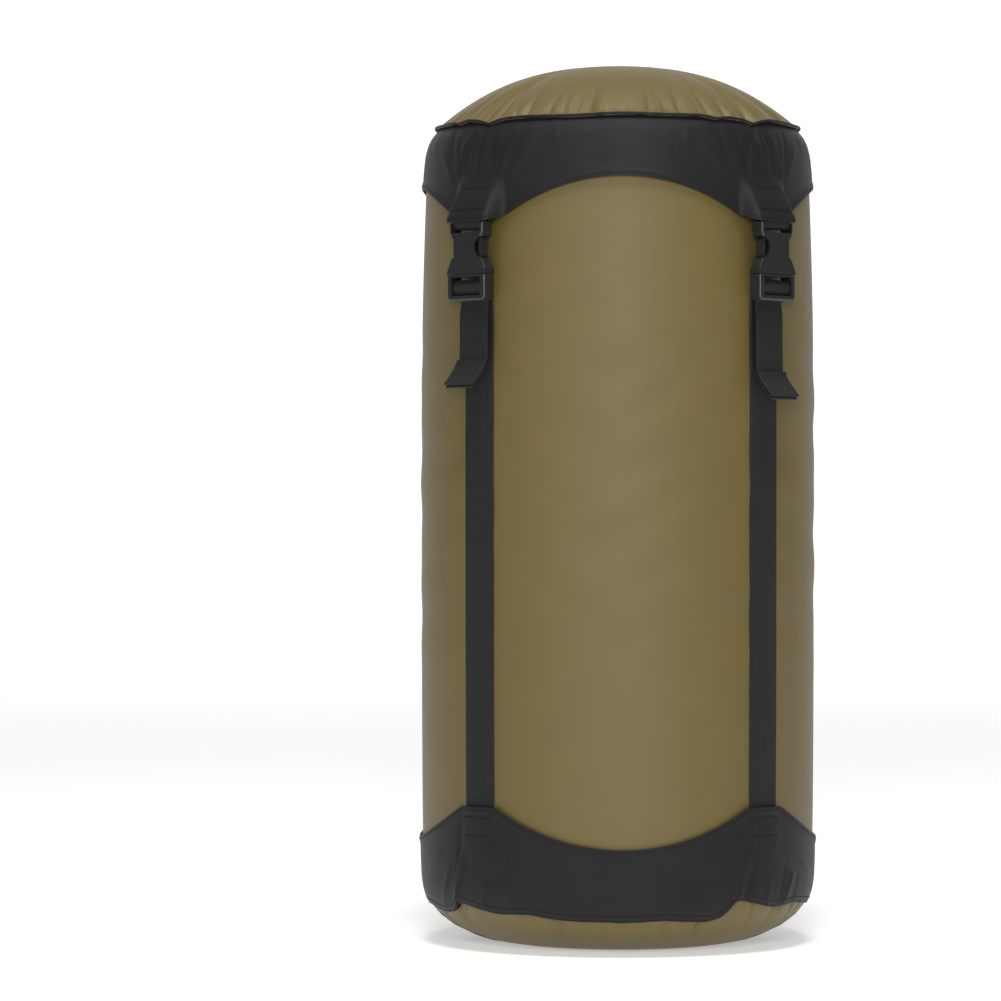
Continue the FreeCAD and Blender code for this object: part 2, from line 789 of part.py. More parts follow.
def build_release_arm(corner, azimuth, side, sign):
    """One springy arm of the plug, whose pad fills the socket's side window.

    Left and right are as seen facing the buckle from outside the sack.
    """
    body = new_body(f"Arm_{side}_{corner}")
    inner, outer, bevel = "dims.arm_inner", "dims.arm_outer", "dims.arm_chamfer"
    face = [
        (inner, "dims.arm_foot"),
        (f"{outer} - {bevel}", "dims.arm_foot"),
        (f"{outer} - {bevel}", "dims.arm_neck"),
        (outer, "dims.pad_low"),
        (outer, "dims.pad_high"),
        (f"{outer} - {bevel}", "dims.arm_tip"),
        (f"{inner} + {bevel}", "dims.arm_tip"),
        (inner, f"dims.arm_tip - 2 * {bevel}"),
    ]
    pad(body, "XZ_Plane", [(f"{sign}({x})", z) for x, z in face], "dims.tongue_thick")
    at_corner(body, azimuth, "dims.buckle_axis", "dims.parting")
    finish(body, f"release_arm_{corner}_{side}")


def build_straps():
    for corner, azimuth in CORNERS.items():
        build_load_strap(corner, azimuth)
        build_strap_tail(corner, azimuth)
        build_buckle_loop(corner, azimuth)
        build_socket(corner, azimuth)
        build_plug(corner, azimuth)
        build_release_arm(corner, azimuth, "left", "")
        build_release_arm(corner, azimuth, "right", "-")


def write_pieces():
    doc.recompute()
    for item in doc.Objects:
        if {"Invalid", "Error"} & set(item.State):
            raise RuntimeError(f"{item.Label} did not compute: {item.State}")
    os.makedirs("parts", exist_ok=True)
    for piece in pieces:
        shape = piece.Shape
        if shape.isNull() or not shape.isValid() or len(shape.Solids) != 1:
            raise RuntimeError(f"{piece.Label}: not one valid solid")
        shape.exportStep(f"parts/{piece.Label}.step")


fill_sheet()
build_base()
build_lower_yoke()
build_tube()
build_mouth()
build_drawcord()
build_cord_lock()
build_lid()
build_upper_yoke()
build_straps()
write_pieces()
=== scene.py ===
import math

import bmesh
import bpy
import numpy as np
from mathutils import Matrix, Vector


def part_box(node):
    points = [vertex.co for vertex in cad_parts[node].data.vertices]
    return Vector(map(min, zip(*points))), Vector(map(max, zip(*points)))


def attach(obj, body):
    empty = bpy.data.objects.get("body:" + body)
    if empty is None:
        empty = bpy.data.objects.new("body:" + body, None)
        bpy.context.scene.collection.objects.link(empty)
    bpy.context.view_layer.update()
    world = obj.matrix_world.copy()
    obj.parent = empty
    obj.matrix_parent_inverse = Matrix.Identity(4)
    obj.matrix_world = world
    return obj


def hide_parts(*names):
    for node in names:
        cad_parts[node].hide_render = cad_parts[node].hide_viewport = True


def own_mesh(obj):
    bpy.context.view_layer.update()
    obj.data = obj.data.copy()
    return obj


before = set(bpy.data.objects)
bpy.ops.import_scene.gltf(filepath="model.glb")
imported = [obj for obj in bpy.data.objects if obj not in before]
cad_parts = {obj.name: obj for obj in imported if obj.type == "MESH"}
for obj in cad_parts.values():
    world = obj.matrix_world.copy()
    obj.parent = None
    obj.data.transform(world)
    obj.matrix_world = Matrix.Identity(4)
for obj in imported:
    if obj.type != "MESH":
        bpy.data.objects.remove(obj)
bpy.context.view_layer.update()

# ---------------------------------------------------------------- studio
# A pale sweep that is floor and backdrop in one, a soft light above the camera, one overhead and one
# on the backdrop, and a long lens at the height of the sack's middle, looking straight on.

sack_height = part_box("lid_panel")[1].z
bpy.ops.object.select_all(action="DESELECT")
bpy.ops.mesh.primitive_plane_add(size=12)
floor = bpy.context.object
floor.name = "studio_floor"
bpy.ops.object.mode_set(mode="EDIT")
bpy.ops.mesh.select_mode(type="EDGE")
bpy.ops.mesh.select_all(action="DESELECT")
floor_edit = bmesh.from_edit_mesh(floor.data)
for edge in floor_edit.edges:
    edge.select = all(v.co.y > 5.9 for v in edge.verts)
bmesh.update_edit_mesh(floor.data)
bpy.ops.mesh.extrude_region_move(TRANSFORM_OT_translate={"value": (0, 0, 6)})
bpy.ops.mesh.select_all(action="DESELECT")
floor_edit = bmesh.from_edit_mesh(floor.data)
for edge in floor_edit.edges:
    edge.select = all(v.co.y > 5.9 and v.co.z < 0.1 for v in edge.verts)
bmesh.update_edit_mesh(floor.data)
bpy.ops.mesh.bevel(offset=3, segments=16)
bpy.ops.object.mode_set(mode="OBJECT")
bpy.ops.object.shade_smooth()
floor_paint = bpy.data.materials.new("studio_white")
floor_paint.use_nodes = True
floor_shader = floor_paint.node_tree.nodes["Principled BSDF"]
floor_shader.inputs["Base Color"].default_value = (0.9, 0.9, 0.9, 1)
floor_shader.inputs["Roughness"].default_value = 0.9
floor_shader.inputs["Emission Color"].default_value = (1, 1, 1, 1)
floor_shader.inputs["Emission Strength"].default_value = 0.38
floor.data.materials.append(floor_paint)

world = bpy.data.worlds.new("studio_air")
world.use_nodes = True
world.node_tree.nodes["Background"].inputs["Color"].default_value = (1, 1, 1, 1)
world.node_tree.nodes["Background"].inputs["Strength"].default_value = 0.15
bpy.context.scene.world = world


def soft_light(name, place, aim, width, height, power):
    lamp = bpy.data.lights.new(name, "AREA")
    lamp.shape = "RECTANGLE"
    lamp.size, lamp.size_y, lamp.energy = width, height, power
    holder = bpy.data.objects.new(name, lamp)
    holder.location = place
    holder.rotation_euler = (Vector(aim) - Vector(place)).to_track_quat("-Z", "Y").to_euler()
    bpy.context.collection.objects.link(holder)


middle = (0, 0, sack_height / 2)
soft_light("front_light", (-0.1, -2.7, 0.8), middle, 0.4, 0.9, 38)
soft_light("top_light", (0, -0.7, 2.2), middle, 0.8, 0.8, 40)
soft_light("backdrop_light", (0, 3.2, 3.2), (0, 6, 1), 5, 1, 60)

lens_data = bpy.data.cameras.new("camera")
lens_data.lens = 154.6
eye_height_share = 0.5036
camera = bpy.data.objects.new("camera", lens_data)
camera.location = (-0.0626, -2.3, sack_height * eye_height_share)
camera.rotation_euler = (math.pi / 2, 0, 0)
bpy.context.collection.objects.link(camera)
bpy.context.scene.camera = camera
bpy.context.scene.view_settings.view_transform = "Standard"

# ---------------------------------------------------------------- base panel
# The dished bottom of the sack, cut from plain-woven khaki nylon. It is sewn to the black band
# above it a little fuller than the seam, so the cloth puckers where the straps pull.

strap_angles = {"front_right": 315, "back_right": 45, "back_left": 135, "front_left": 225}
khaki = (0.119, 0.086, 0.022)
cloth_thickness = 0.0006
foot_height = 0.0008
side_heights = np.array(
    [0.8, 2, 4.6, 10, 15.3, 20.7, 26, 31.4, 42, 60, 110, 200, 300, 345, 378, 400, 412, 420, 427, 434]
) / 1000
side_radii = np.array(
    [62, 69, 76.8, 88, 95, 99.6, 101.9, 103.1, 103.8, 104.1, 104.5, 104.7, 104.6, 104.0, 103.1,
     102.3, 101.7, 100.8, 98.9, 95]
) / 1000
side_slopes = np.gradient(side_radii, side_heights)
seam_middles = (0, 90, 180, 270, 360)
seam_at_middles = (0.0208, 0.0196, 0.0204, 0.0185, 0.0208)
seam_pull = (
    (-45, -33, -25, -19, -14.5, -12, -10.5, -8.5, -4, 2, 6, 12, 17, 24, 34, 45),
    (0, 1.4, 0.1, -0.5, 1.5, 5.8, 9.4, 9.9, 8.0, 5.4, 4.2, 4.8, 5.5, 3.2, 1.2, 0),
)
seam_pull_share = {315: 1.0, 45: 0.7, 135: 0.85, 225: 0.6}


def side_radius(height):
    """Radius of the filled sack at a height, as a smooth curve through a few stations."""
    spot = np.clip(np.searchsorted(side_heights, height) - 1, 0, len(side_heights) - 2)
    start, end = side_heights[spot], side_heights[spot + 1]
    gap = end - start
    t = np.clip((height - start) / gap, 0, 1)
    return (
        side_radii[spot] * (2 * t**3 - 3 * t**2 + 1)
        + side_slopes[spot] * gap * (t**3 - 2 * t**2 + t)
        + side_radii[spot + 1] * (3 * t**2 - 2 * t**3)
        + side_slopes[spot + 1] * gap * (t**3 - t**2)
    )


def from_straps(theta):
    """How far round from the nearest strap, in radians, positive towards +theta."""
    quarter = math.pi / 2
    return (theta - math.pi / 4 + quarter / 2) % quarter - quarter / 2


def waves(theta, orders, phase):
    """A gentle unevenness that closes on itself round the sack."""
    return sum(np.sin(k * theta + phase + 1.7 * k) for k in orders) / len(orders)


def base_seam(theta):
    """Height of the seam between base and black band: it is dragged up beside each strap."""
    turn = np.degrees(theta) % 360
    height = np.interp(turn, seam_middles, seam_at_middles)
    near = np.degrees(from_straps(theta))
    for angle, share in seam_pull_share.items():
        here = np.abs((turn - angle + 180) % 360 - 180) <= 45
        height = height + here * share * np.interp(near, *seam_pull) / 1000
    return height + 0.0006 * waves(theta, (5, 9, 14), 0.6)


def puckers(theta, reach, seed, count, spread, depth, length):
    """Creases that start at a seam and die out over length; reach is the distance from the seam."""
    dice = np.random.default_rng(seed)
    total = np.zeros_like(theta)
    centres = dice.uniform(0, 2 * math.pi, count)
    for centre in centres:
        width = spread * dice.uniform(0.6, 1.5)
        slant = dice.uniform(-1.6, 1.6)
        deep = depth * dice.uniform(0.25, 1.0)
        far = length * dice.uniform(0.5, 1.4)
        off = (theta - centre - slant * reach + math.pi) % (2 * math.pi) - math.pi
        total -= deep * np.exp(-np.abs(off) / width) * np.exp(-((reach / far) ** 1.5))
    return total


def cut_cloth(name, columns, rows, place, flat):
    """A flat rectangle of cloth; place(across, up), each from 0 to 1, puts every point where it lies."""
    bpy.ops.object.select_all(action="DESELECT")
    bpy.ops.mesh.primitive_grid_add(x_subdivisions=columns, y_subdivisions=rows, size=2)
    cloth = bpy.context.object
    cloth.name = name
    mesh = cloth.data
    spots = np.empty(len(mesh.vertices) * 3)
    mesh.vertices.foreach_get("co", spots)
    spots = spots.reshape(-1, 3)
    shaped = np.stack(place((spots[:, 0] + 1) / 2, (spots[:, 1] + 1) / 2), axis=1)
    mesh.vertices.foreach_set("co", shaped.ravel())
    layer = mesh.uv_layers[0].uv
    turns = np.empty(len(layer) * 2)
    layer.foreach_get("vector", turns)
    layer.foreach_set("vector", (turns.reshape(-1, 2) * flat).ravel())
    bpy.ops.object.mode_set(mode="EDIT")
    bpy.ops.mesh.select_all(action="SELECT")
    bpy.ops.mesh.remove_doubles(threshold=1e-6)
    bpy.ops.object.mode_set(mode="OBJECT")
    return cloth


def wrap_cloth(name, columns, rows, place, flat):
    """Cloth wrapped once round the sack; place(theta, rise) gives each point's place."""
    return cut_cloth(name, columns, rows, lambda u, v: place(u * 2 * math.pi, v), flat)


def give_thickness(piece, thickness, offset=-1):
    modifier = piece.modifiers.new("thickness", "SOLIDIFY")
    modifier.thickness = thickness
    modifier.offset = offset
    bpy.ops.object.select_all(action="DESELECT")
    piece.select_set(True)
    bpy.context.view_layer.objects.active = piece
    bpy.ops.object.modifier_apply(modifier=modifier.name)
    bpy.ops.object.shade_smooth_by_angle(angle=math.radians(50))


def place_base(theta, rise):
    seam_z = base_seam(theta)
    climb = np.clip((rise - 0.4) / 0.6, 0, 1)
    height = foot_height + (seam_z - foot_height) * climb**1.5
    radius = side_radius(height) * np.clip(rise / 0.4, 0, 1)
    reach = (1 - climb) * 0.045
    dent = puckers(theta, reach, 11, 60, 0.020, 0.0026, 0.013) * np.clip(climb * 2, 0, 1)
    return (radius + dent) * np.cos(theta), (radius + dent) * np.sin(theta), height - 0.3 * dent


def new_group(name, inputs, outputs):
    """An empty shader group with the named inputs and outputs."""
    group = bpy.data.node_groups.new(name, "ShaderNodeTree")
    for label, kind in inputs:
        group.interface.new_socket(label, in_out="INPUT", socket_type=kind)
    for label, kind in outputs:
        group.interface.new_socket(label, in_out="OUTPUT", socket_type=kind)
    return group, group.nodes.new("NodeGroupInput"), group.nodes.new("NodeGroupOutput")


def build_weave():
    """Plain weave: warp and weft threads cross, each seen where it passes over the other."""
    group, start, end = new_group(
        "plain_weave",
        [("Vector", "NodeSocketVector"), ("Threads", "NodeSocketFloat")],
        [("Height", "NodeSocketFloat"), ("Mottle", "NodeSocketFloat")],
    )
    nodes, links = group.nodes, group.links
    heights = []
    for direction in ("X", "Y"):
        threads = nodes.new("ShaderNodeTexWave")
        threads.wave_type = "BANDS"
        threads.bands_direction = direction
        threads.inputs["Distortion"].default_value = 0.6
        threads.inputs["Detail"].default_value = 1
        links.new(start.outputs["Vector"], threads.inputs["Vector"])
        links.new(start.outputs["Threads"], threads.inputs["Scale"])
        heights.append(threads.outputs["Fac"])
    crossing = nodes.new("ShaderNodeMath")
    crossing.operation = "MULTIPLY"
    links.new(heights[0], crossing.inputs[0])
    links.new(heights[1], crossing.inputs[1])
    links.new(crossing.outputs[0], end.inputs["Height"])
    mottle = nodes.new("ShaderNodeTexNoise")
    mottle.inputs["Scale"].default_value = 38
    mottle.inputs["Detail"].default_value = 5
    links.new(start.outputs["Vector"], mottle.inputs["Vector"])
    links.new(mottle.outputs["Fac"], end.inputs["Mottle"])
    return group


weave = build_weave()


def woven_cloth(name, colour, shade, roughness, gloss, threads, bump):
    """Woven nylon: colour, and shade where the yarn lies thinner; threads sets the weave's fineness."""
    material = bpy.data.materials.new(name)
    material.use_nodes = True
    nodes, links = material.node_tree.nodes, material.node_tree.links
    shader = nodes["Principled BSDF"]
    shader.inputs["Roughness"].default_value = roughness
    shader.inputs["Specular IOR Level"].default_value = gloss
    shader.inputs["Sheen Weight"].default_value = 0.03
    shader.inputs["Sheen Roughness"].default_value = 0.4
    shader.inputs["Sheen Tint"].default_value = (*[0.5 + 0.5 * c for c in colour], 1)
    place = nodes.new("ShaderNodeUVMap")
    cloth = nodes.new("ShaderNodeGroup")
    cloth.node_tree = weave
    cloth.inputs["Threads"].default_value = threads
    links.new(place.outputs["UV"], cloth.inputs["Vector"])
    tint = nodes.new("ShaderNodeMix")
    tint.data_type = "RGBA"
    tint.inputs[6].default_value = (*shade, 1)
    tint.inputs[7].default_value = (*colour, 1)
    spread = nodes.new("ShaderNodeMapRange")
    spread.inputs["From Min"].default_value = 0.3
    spread.inputs["From Max"].default_value = 0.62
    links.new(cloth.outputs["Mottle"], spread.inputs["Value"])
    links.new(spread.outputs["Result"], tint.inputs["Factor"])
    links.new(tint.outputs[2], shader.inputs["Base Color"])
    relief = nodes.new("ShaderNodeBump")
    relief.inputs["Strength"].default_value = bump
    relief.inputs["Distance"].default_value = 0.00015
    links.new(cloth.outputs["Height"], relief.inputs["Height"])
    links.new(relief.outputs["Normal"], shader.inputs["Normal"])
    return material


khaki_cloth = woven_cloth(
    "khaki_nylon", khaki, tuple(c * 0.95 for c in khaki), 0.48, 0.42, 560, 0.5
)

base_panel = wrap_cloth("base_cloth", 480, 50, place_base, (0.62, 0.1))
give_thickness(base_panel, cloth_thickness)
base_panel.data.materials.append(khaki_cloth)
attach(base_panel, "base")
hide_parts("base_panel")

# ---------------------------------------------------------------- lower yoke
# A band of black nylon round the foot of the sack. Its top edge dips between the straps and rises
# to a blunt peak over each one, where the strap's end is sewn between the band and the tube.

yoke_lift = 0.0014
side_reach = 0.1044
peak_half_width = 0.0118
low_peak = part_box("lower_yoke")[1].z
low_valley = low_peak - 0.020
black = (0.013, 0.013, 0.014)


def strap_dent(theta):
    """How far the straps, pulled tight, sink into the filled sack's side."""
    return 0.0012 * np.exp(-((from_straps(theta) * 0.104 / 0.017) ** 2))


def arch(theta, half_gap, rise):
    """Height of an arch between two straps: 0 at its ends and beyond, and rise at its middle."""
    from_middle = math.pi / 4 - np.abs(from_straps(theta))
    across = np.sin(from_middle) * side_reach
    end = math.sin(math.pi / 4 - half_gap / side_reach) * side_reach
    round_radius = (end**2 + rise**2) / (2 * rise)
    inside = np.clip(round_radius**2 - across**2, 0, None)
    return np.clip(np.sqrt(inside) - (round_radius - rise), 0, None)


def fold(along, across, line, height, width):
    """A soft fold along a line given by its two ends, fading out at both."""
    (a0, b0), (a1, b1) = line
    run, climb = a1 - a0, b1 - b0
    length = math.hypot(run, climb)
    t = ((along - a0) * run + (across - b0) * climb) / length**2
    off = ((along - a0) * climb - (across - b0) * run) / length
    fade = np.clip(1 - np.abs(2 * t - 1) ** 3, 0, None) * ((t > 0) & (t < 1))
    return height * fade * np.exp(-np.abs(off / width) ** 1.3)


def smooth(value, low, high):
    t = np.clip((value - low) / (high - low), 0, 1)
    return t * t * (3 - 2 * t)


def low_edge(theta):
    return low_peak - arch(theta, peak_half_width, low_peak - low_valley)


def shape_folds(theta, height, folds, seed):
    """The folds beside each strap, a little different at every corner."""
    dice = np.random.default_rng(seed)
    total = np.zeros_like(theta)
    for angle in strap_angles.values():
        off = (theta - math.radians(angle) + math.pi) % (2 * math.pi) - math.pi
        along = off * side_radius(height)
        for (a0, h0, a1, h1, size, width) in folds:
            shift = dice.uniform(-0.0022, 0.0022, 4)
            line = ((a0 + shift[0], h0 + shift[1]), (a1 + shift[2], h1 + shift[3]))
            total += fold(along, height, line, size * dice.uniform(0.7, 1.25), width)
    return total


low_folds = [
    (-0.0175, 0.030, -0.0120, 0.071, -0.0009, 0.0014),
    (-0.019, 0.022, -0.012, 0.052, 0.0011, 0.0020),
    (-0.0150, 0.028, -0.006, 0.050, -0.0008, 0.0013),
    (0.012, 0.026, 0.018, 0.048, -0.0008, 0.0013),
    (0.018, 0.024, 0.024, 0.044, 0.0009, 0.0018),
    (0.025, 0.024, 0.030, 0.040, -0.0007, 0.0013),
    (0.003, 0.024, 0.004, 0.040, 0.0006, 0.0018),
    (-0.034, 0.022, -0.020, 0.046, 0.0006, 0.0020),
    (-0.030, 0.050, -0.048, 0.042, 0.0004, 0.0018),
    (0.034, 0.046, 0.052, 0.040, 0.0004, 0.0018),
]


def place_low_yoke(theta, rise):
    bottom, top = base_seam(theta), low_edge(theta)
    height = bottom + (top - bottom) * rise
    along = np.abs(from_straps(theta)) * side_radius(height)
    over_strap = 0.0003 * (1 - smooth(along, 0.0085, 0.0130)) * smooth(height, 0.036, 0.064)
    hem = 0.0004 * (1 - smooth(top - height, 0.0032, 0.0042))
    radius = side_radius(height) + yoke_lift + over_strap + hem
    radius = radius + shape_folds(theta, height, low_folds, 5)
    radius = radius + 0.0002 * waves(theta, (3, 7, 11), 2.0) * rise * (1 - rise)
    return radius * np.cos(theta), radius * np.sin(theta), height


black_cloth = woven_cloth(
    "black_nylon", black, tuple(c * 0.8 for c in black), 0.5, 0.15, 520, 0.6
)

lower_yoke = wrap_cloth("lower_yoke_cloth", 480, 40, place_low_yoke, (0.65, 0.055))
give_thickness(lower_yoke, cloth_thickness)
lower_yoke.data.materials.append(black_cloth)
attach(lower_yoke, "base")
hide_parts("lower_yoke")

# ---------------------------------------------------------------- tube
# The long side of the sack, khaki nylon held taut by what is packed inside. It is made as a length
# that flattens as the straps are pulled and a shoulder that travels with the mouth. They meet where
# the lid's band hides them.

high_tip = 0.3787
high_valley = 0.4008
tip_half_width = 0.0128


def high_edge(theta):
    """Height of the lid band's lower edge, which hides the tube's top."""
    return high_tip + arch(theta, tip_half_width, high_valley - high_tip)


tube_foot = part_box("body_tube_1")[0].z
tube_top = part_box("body_tube_4")[1].z
shoulder = 0.4035


def tube_wall(theta, height):
    slack = 0.0004 * np.sin(2 * math.pi * height / 0.046 + 2.4 * waves(theta, (2, 3, 5), 0.4))
    slack += 0.0003 * np.sin(2 * math.pi * height / 0.029 + 3.1 * waves(theta, (3, 4, 7), 1.9))
    slack = slack * (0.55 + 0.45 * waves(theta, (1, 4, 6), 1.1))
    ends = smooth(height, 0.12, 0.19) * (1 - smooth(height, 0.30, 0.34))
    under_low = 1 - smooth(height, low_edge(theta) - 0.009, low_edge(theta) - 0.002)
    under_high = smooth(height, high_edge(theta) + 0.001, high_edge(theta) + 0.016)
    hidden = 0.0042 * np.maximum(under_low, under_high)
    radius = side_radius(height) + slack * ends - strap_dent(theta) - hidden
    return radius * np.cos(theta), radius * np.sin(theta), height


def place_tube(theta, rise):
    return tube_wall(theta, tube_foot + (shoulder + 0.0015 - tube_foot) * rise)


def place_shoulder(theta, rise):
    return tube_wall(theta, shoulder + (tube_top - shoulder) * rise)


tube = wrap_cloth("tube_cloth", 360, 110, place_tube, (0.655, 0.387))
give_thickness(tube, cloth_thickness)
tube.data.materials.append(khaki_cloth)
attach(tube, "base")
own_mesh(tube)
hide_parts("body_tube_1", "body_tube_2", "body_tube_3")
shoulder_cloth = wrap_cloth("shoulder_cloth", 360, 12, place_shoulder, (0.655, 0.027))
give_thickness(shoulder_cloth, cloth_thickness)
shoulder_cloth.data.materials.append(khaki_cloth)
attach(shoulder_cloth, "crown")
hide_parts("body_tube_4")

# ---------------------------------------------------------------- lid
# A khaki dome on a black band. The band is scalloped like the lower one, upside down, and each of
# its four tips covers the webbing loop of a buckle. Dome and band are sewn with the dome eased in.

lid_seam_height = 0.4335
lid_seam_radius = 0.0966


def lid_seam(theta):
    """Height of the seam between dome and band: each strap drags it down into a shallow V."""
    near = np.degrees(from_straps(theta))
    dip = 0.0026 * np.exp(-np.abs(near / 4.2) ** 1.3) + 0.0011 * np.exp(-((near + 15) / 3) ** 2)
    return lid_seam_height - dip + 0.0006 * waves(theta, (4, 7, 13), 0.2)


def place_dome(theta, rise):
    seam_z = lid_seam(theta) - 0.0008
    share = 1 - rise
    radius = lid_seam_radius * share
    height = sack_height - 0.0004 - (sack_height - 0.0004 - seam_z) * share**2.6
    reach = rise * 0.105
    crease = puckers(theta, reach, 3, 74, 0.020, 0.0030, 0.014)
    crease += puckers(theta, reach, 19, 16, 0.040, 0.0018, 0.034)
    near = np.degrees(from_straps(theta))
    drag = -0.0022 * np.exp(-np.abs(near / 3.2)) * np.exp(-((reach / 0.022) ** 2))
    dent = (crease + drag) * (1 - np.exp(-share * 12)) * smooth(reach, -0.0005, 0.0035)
    radius = radius + 0.5 * dent
    height = height + 0.8 * dent
    return radius * np.cos(theta), radius * np.sin(theta), height


dome = wrap_cloth("dome_cloth", 480, 56, place_dome, (0.6, 0.105))
give_thickness(dome, cloth_thickness)
dome.data.materials.append(khaki_cloth)
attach(dome, "lid")
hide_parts("lid_panel")

tip_stand_off = 0.0099
bow_radius = 0.105
high_folds = [
    (0.000, 0.432, -0.002, 0.398, -0.0010, 0.0012),
    (0.002, 0.432, 0.0035, 0.400, 0.0009, 0.0016),
    (-0.003, 0.431, -0.007, 0.402, 0.0009, 0.0015),
    (0.005, 0.431, 0.0095, 0.404, -0.0008, 0.0013),
    (-0.006, 0.430, -0.0115, 0.406, -0.0008, 0.0012),
    (0.010, 0.430, 0.0165, 0.400, 0.0007, 0.0020),
    (-0.011, 0.429, -0.0190, 0.403, 0.0007, 0.0018),
    (0.016, 0.426, 0.011, 0.392, -0.0007, 0.0014),
    (-0.018, 0.425, -0.010, 0.393, -0.0007, 0.0014),
    (0.024, 0.431, 0.020, 0.407, -0.0006, 0.0014),
    (-0.027, 0.431, -0.024, 0.408, -0.0006, 0.0014),
    (0.034, 0.424, 0.018, 0.399, 0.0006, 0.0022),
    (-0.038, 0.422, -0.019, 0.398, 0.0006, 0.0022),
    (0.048, 0.420, 0.066, 0.424, 0.0004, 0.0014),
    (-0.052, 0.419, -0.072, 0.426, 0.0004, 0.0014),
    (0.052, 0.412, 0.074, 0.408, -0.0003, 0.0012),
    (0.040, 0.431, 0.046, 0.417, 0.0004, 0.0010),
    (-0.044, 0.431, -0.047, 0.416, 0.0004, 0.0010),
]


def place_high_yoke(theta, rise):
    bottom, top = high_edge(theta), lid_seam(theta) - 0.0010
    height = bottom + (top - bottom) * rise
    along = np.abs(from_straps(theta)) * side_radius(height)
    down = np.clip((0.406 - height) / (0.406 - high_tip), 0, 1)
    tip = (1 - smooth(along, 0.0115, 0.0180)) * (0.35 * down + 0.65 * down * down * (3 - 2 * down))
    flat = along**2 / (2 * bow_radius) * tip
    hem = 0.0004 * (1 - smooth(height - bottom, 0.0032, 0.0042))
    radius = side_radius(height) + yoke_lift + tip_stand_off * tip + flat + hem
    radius = radius + shape_folds(theta, height, high_folds, 8) * smooth(height, 0.385, 0.396)
    radius = radius + 0.0004 * (1 + waves(theta, (3, 5, 8), 0.9)) * (1 - rise) - 0.0024 * rise**6
    return radius * np.cos(theta), radius * np.sin(theta), height


upper_yoke = wrap_cloth("upper_yoke_cloth", 480, 48, place_high_yoke, (0.65, 0.05))
give_thickness(upper_yoke, cloth_thickness)
upper_yoke.data.materials.append(black_cloth)
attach(upper_yoke, "lid")
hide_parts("upper_yoke")

# ---------------------------------------------------------------- seam rolls
# Where dome meets band and band meets base, the raw edges of black nylon are rolled under and sewn
# down, which leaves a thin dark ridge along the seam.

roll_radius = 0.0007


def seam_roll(name, edge, body):
    """The raw edges of a seam rolled under and sewn down: a thin ridge of black cloth all round."""

    def place(theta, rise):
        turn = -rise * 2 * math.pi
        radius, height = edge(theta)
        thick = roll_radius * (1 + 0.12 * waves(theta, (61, 83), 0.7))
        radius = radius - thick * np.cos(turn)
        return radius * np.cos(theta), radius * np.sin(theta), height + thick * np.sin(turn)

    roll = wrap_cloth(name, 480, 8, place, (0.6, 0.0044))
    bpy.ops.object.shade_smooth()
    roll.data.materials.append(black_cloth)
    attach(roll, body)


def dome_edge(theta):
    return lid_seam_radius + 0.0005, lid_seam(theta) - 0.0006


def foot_edge(theta):
    height = base_seam(theta)
    return side_radius(height) + 0.0006, height - 0.0002


seam_roll("dome_seam", dome_edge, "lid")
seam_roll("foot_seam", foot_edge, "base")

# ---------------------------------------------------------------- straps
# Four lengths of 20 mm black nylon webbing run up the sack, one at each corner, from under the
# peaks of the lower band to the ladder locks. They are woven with fine ribs across their width.

strap_width = 0.020
strap_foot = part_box("load_strap_front_left")[0].z
strap_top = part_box("load_strap_front_left")[1].z
strap_thickness = 0.0012


def build_ribs():
    """Webbing: ribs across the width, crossed by finer threads along the strip."""
    group, start, end = new_group(
        "ribbed_webbing",
        [("Vector", "NodeSocketVector")],
        [("Height", "NodeSocketFloat"), ("Wear", "NodeSocketFloat")],
    )
    nodes, links = group.nodes, group.links
    ribs = nodes.new("ShaderNodeTexWave")
    ribs.bands_direction = "Y"
    ribs.inputs["Scale"].default_value = 420
    ribs.inputs["Distortion"].default_value = 0.8
    threads = nodes.new("ShaderNodeTexWave")
    threads.bands_direction = "X"
    threads.inputs["Scale"].default_value = 260
    threads.inputs["Distortion"].default_value = 0.5
    links.new(start.outputs["Vector"], ribs.inputs["Vector"])
    links.new(start.outputs["Vector"], threads.inputs["Vector"])
    blend = nodes.new("ShaderNodeMath")
    blend.operation = "MULTIPLY_ADD"
    blend.inputs[1].default_value = 0.6
    links.new(threads.outputs["Fac"], blend.inputs[0])
    links.new(ribs.outputs["Fac"], blend.inputs[2])
    links.new(blend.outputs[0], end.inputs["Height"])
    fuzz = nodes.new("ShaderNodeTexNoise")
    fuzz.inputs["Scale"].default_value = 160
    fuzz.inputs["Detail"].default_value = 4
    links.new(start.outputs["Vector"], fuzz.inputs["Vector"])
    links.new(fuzz.outputs["Fac"], end.inputs["Wear"])
    return group


def webbing_material():
    material = bpy.data.materials.new("black_webbing")
    material.use_nodes = True
    nodes, links = material.node_tree.nodes, material.node_tree.links
    shader = nodes["Principled BSDF"]
    shader.inputs["Roughness"].default_value = 0.62
    shader.inputs["Specular IOR Level"].default_value = 0.2
    shader.inputs["Sheen Weight"].default_value = 0.02
    place = nodes.new("ShaderNodeUVMap")
    ribs = nodes.new("ShaderNodeGroup")
    ribs.node_tree = build_ribs()
    links.new(place.outputs["UV"], ribs.inputs["Vector"])
    tint = nodes.new("ShaderNodeMix")
    tint.data_type = "RGBA"
    tint.inputs[6].default_value = (0.008, 0.008, 0.009, 1)
    tint.inputs[7].default_value = (0.015, 0.015, 0.016, 1)
    links.new(ribs.outputs["Wear"], tint.inputs["Factor"])
    links.new(tint.outputs[2], shader.inputs["Base Color"])
    relief = nodes.new("ShaderNodeBump")
    relief.inputs["Strength"].default_value = 0.7
    relief.inputs["Distance"].default_value = 0.00014
    links.new(ribs.outputs["Height"], relief.inputs["Height"])
    links.new(relief.outputs["Normal"], shader.inputs["Normal"])
    return material


